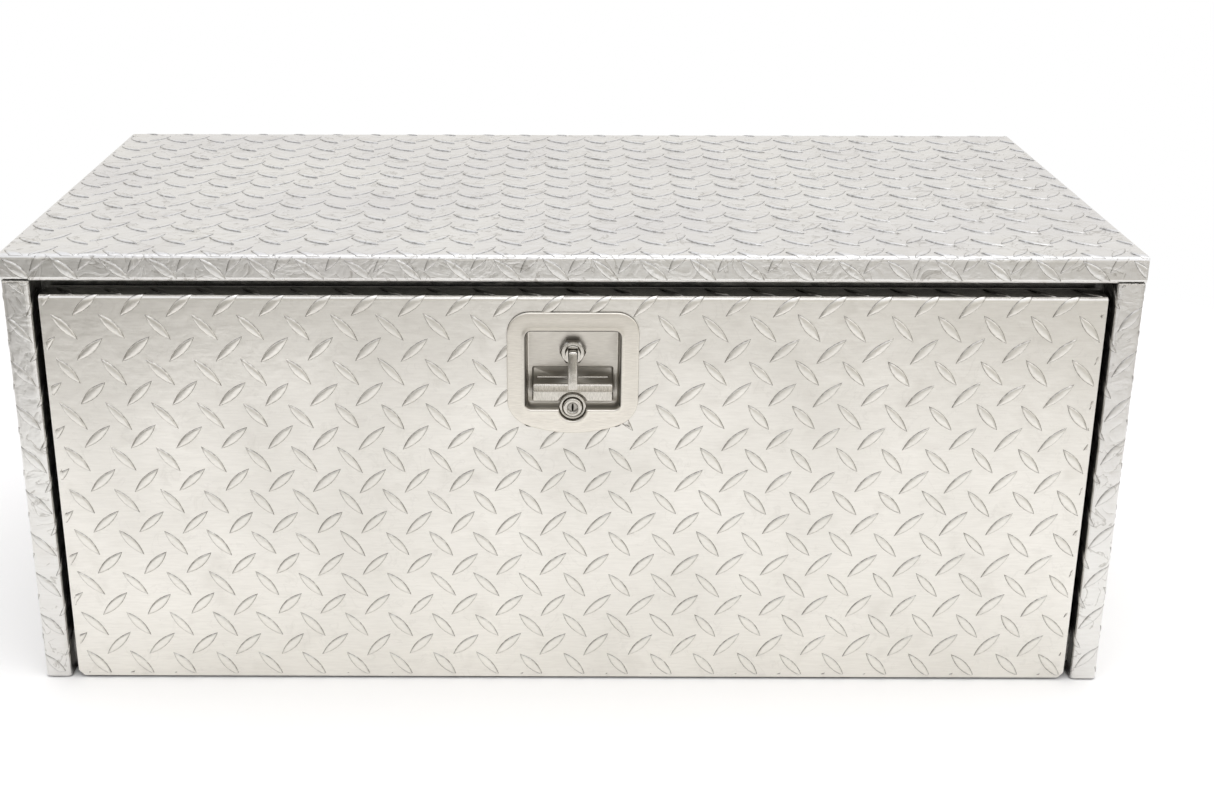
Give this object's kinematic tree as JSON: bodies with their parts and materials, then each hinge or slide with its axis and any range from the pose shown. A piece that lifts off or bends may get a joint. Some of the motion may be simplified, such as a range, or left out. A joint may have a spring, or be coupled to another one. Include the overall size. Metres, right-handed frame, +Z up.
{
  "type": "truck tool box",
  "caption": "Underbody truck tool box of aluminium tread plate with a drop-down door on a full-length hinge, slotted door stays and a recessed folding T-handle latch with a key lock.",
  "frame": {"origin": "centre of the footprint, on the surface that the floor of the box stands on", "axes": "+X to the right as seen from the door side, -Y out of the door side, +Z up"},
  "size_m": [0.9144, 0.4596, 0.381],
  "materials": {
    "tread_plate": "bright rolled aluminium tread plate with raised lozenge lugs, light handling marks",
    "liner_sheet": "plain mill-finish aluminium sheet, lengthwise rolling grain",
    "seal_rubber": "black extruded rubber, matt",
    "rivet_aluminium": "domed aluminium rivets, bright",
    "hinge_stainless": "stainless hinge strip, fine lengthwise brushing",
    "stay_steel": "stainless flat bar, light brushing",
    "zinc_hardware": "zinc-plated steel, slightly cloudy",
    "latch_stainless": "pressed stainless, satin",
    "latch_polished": "turned stainless, polished"
  },
  "bodies": {
    "box": {"body_wrap": "tread_plate", "left_end_panel": "tread_plate", "right_end_panel": "tread_plate", "door_seal": "seal_rubber", "hinge_leaf_body": "hinge_stainless", "hinge_pin": "hinge_stainless", "hinge_rivets_body": "rivet_aluminium", "stay_body_bracket_left": "stay_steel", "stay_body_bracket_right": "stay_steel", "stay_guide_pin_left": "zinc_hardware", "stay_guide_pin_right": "zinc_hardware", "bracket_rivets_body": "rivet_aluminium"},
    "door": {"door_skin": "tread_plate", "door_liner": "liner_sheet", "liner_rivets": "rivet_aluminium", "hinge_leaf_door": "hinge_stainless", "hinge_rivets_door": "rivet_aluminium", "stay_door_bracket_left": "stay_steel", "stay_door_bracket_right": "stay_steel", "stay_pivot_left": "zinc_hardware", "stay_pivot_right": "zinc_hardware", "bracket_rivets_door": "rivet_aluminium", "latch_pan": "latch_stainless", "latch_gasket": "seal_rubber", "latch_nuts": "zinc_hardware", "hex_bushing": "latch_polished", "bushing_nut": "zinc_hardware", "lock_housing": "latch_polished", "lock_nut": "zinc_hardware"},
    "left_stay": {"stay_arm_left": "stay_steel"},
    "right_stay": {"stay_arm_right": "stay_steel"},
    "spindle": {"latch_shaft": "latch_polished", "lock_disc": "zinc_hardware", "latch_cam": "zinc_hardware", "cam_nut": "zinc_hardware", "fold_pin": "latch_polished"},
    "handle": {"t_handle": "latch_stainless"},
    "key_plug": {"lock_plug": "latch_polished", "lock_pawl": "zinc_hardware", "pawl_screw": "zinc_hardware"}
  },
  "joints": [
    {"name": "door_swing", "type": "hinge", "parent": "box", "child": "door", "pos_m": [0, -0.2216, 0.0063], "axis": [1, 0, 0], "range_deg": [0, 90]},
    {"name": "left_stay_turn", "type": "hinge", "parent": "door", "child": "left_stay", "pos_m": [-0.4055, -0.1826, 0.15114], "axis": [1, 0, 0], "range_deg": [-45, 0]},
    {"name": "right_stay_turn", "type": "hinge", "parent": "door", "child": "right_stay", "pos_m": [0.4055, -0.1826, 0.15114], "axis": [1, 0, 0], "range_deg": [-45, 0]},
    {"name": "handle_turn", "type": "hinge", "parent": "door", "child": "spindle", "pos_m": [0, -0.2224, 0.2976], "axis": [0, 1, 0], "range_deg": [0, 90]},
    {"name": "handle_fold", "type": "hinge", "parent": "spindle", "child": "handle", "pos_m": [0, -0.225, 0.2976], "axis": [-1, 0, 0], "range_deg": [0, 90]},
    {"name": "key_turn", "type": "hinge", "parent": "door", "child": "key_plug", "pos_m": [0, -0.2224, 0.2526], "axis": [0, 1, 0], "range_deg": [0, 90]}
  ],
  "couplings": [
    {"joint": "left_stay_turn", "follows": "door_swing", "ratio": -0.5},
    {"joint": "right_stay_turn", "follows": "door_swing", "ratio": -0.5},
    {"joint": "handle_turn", "follows": "handle_fold", "ratio": 1}
  ]
}
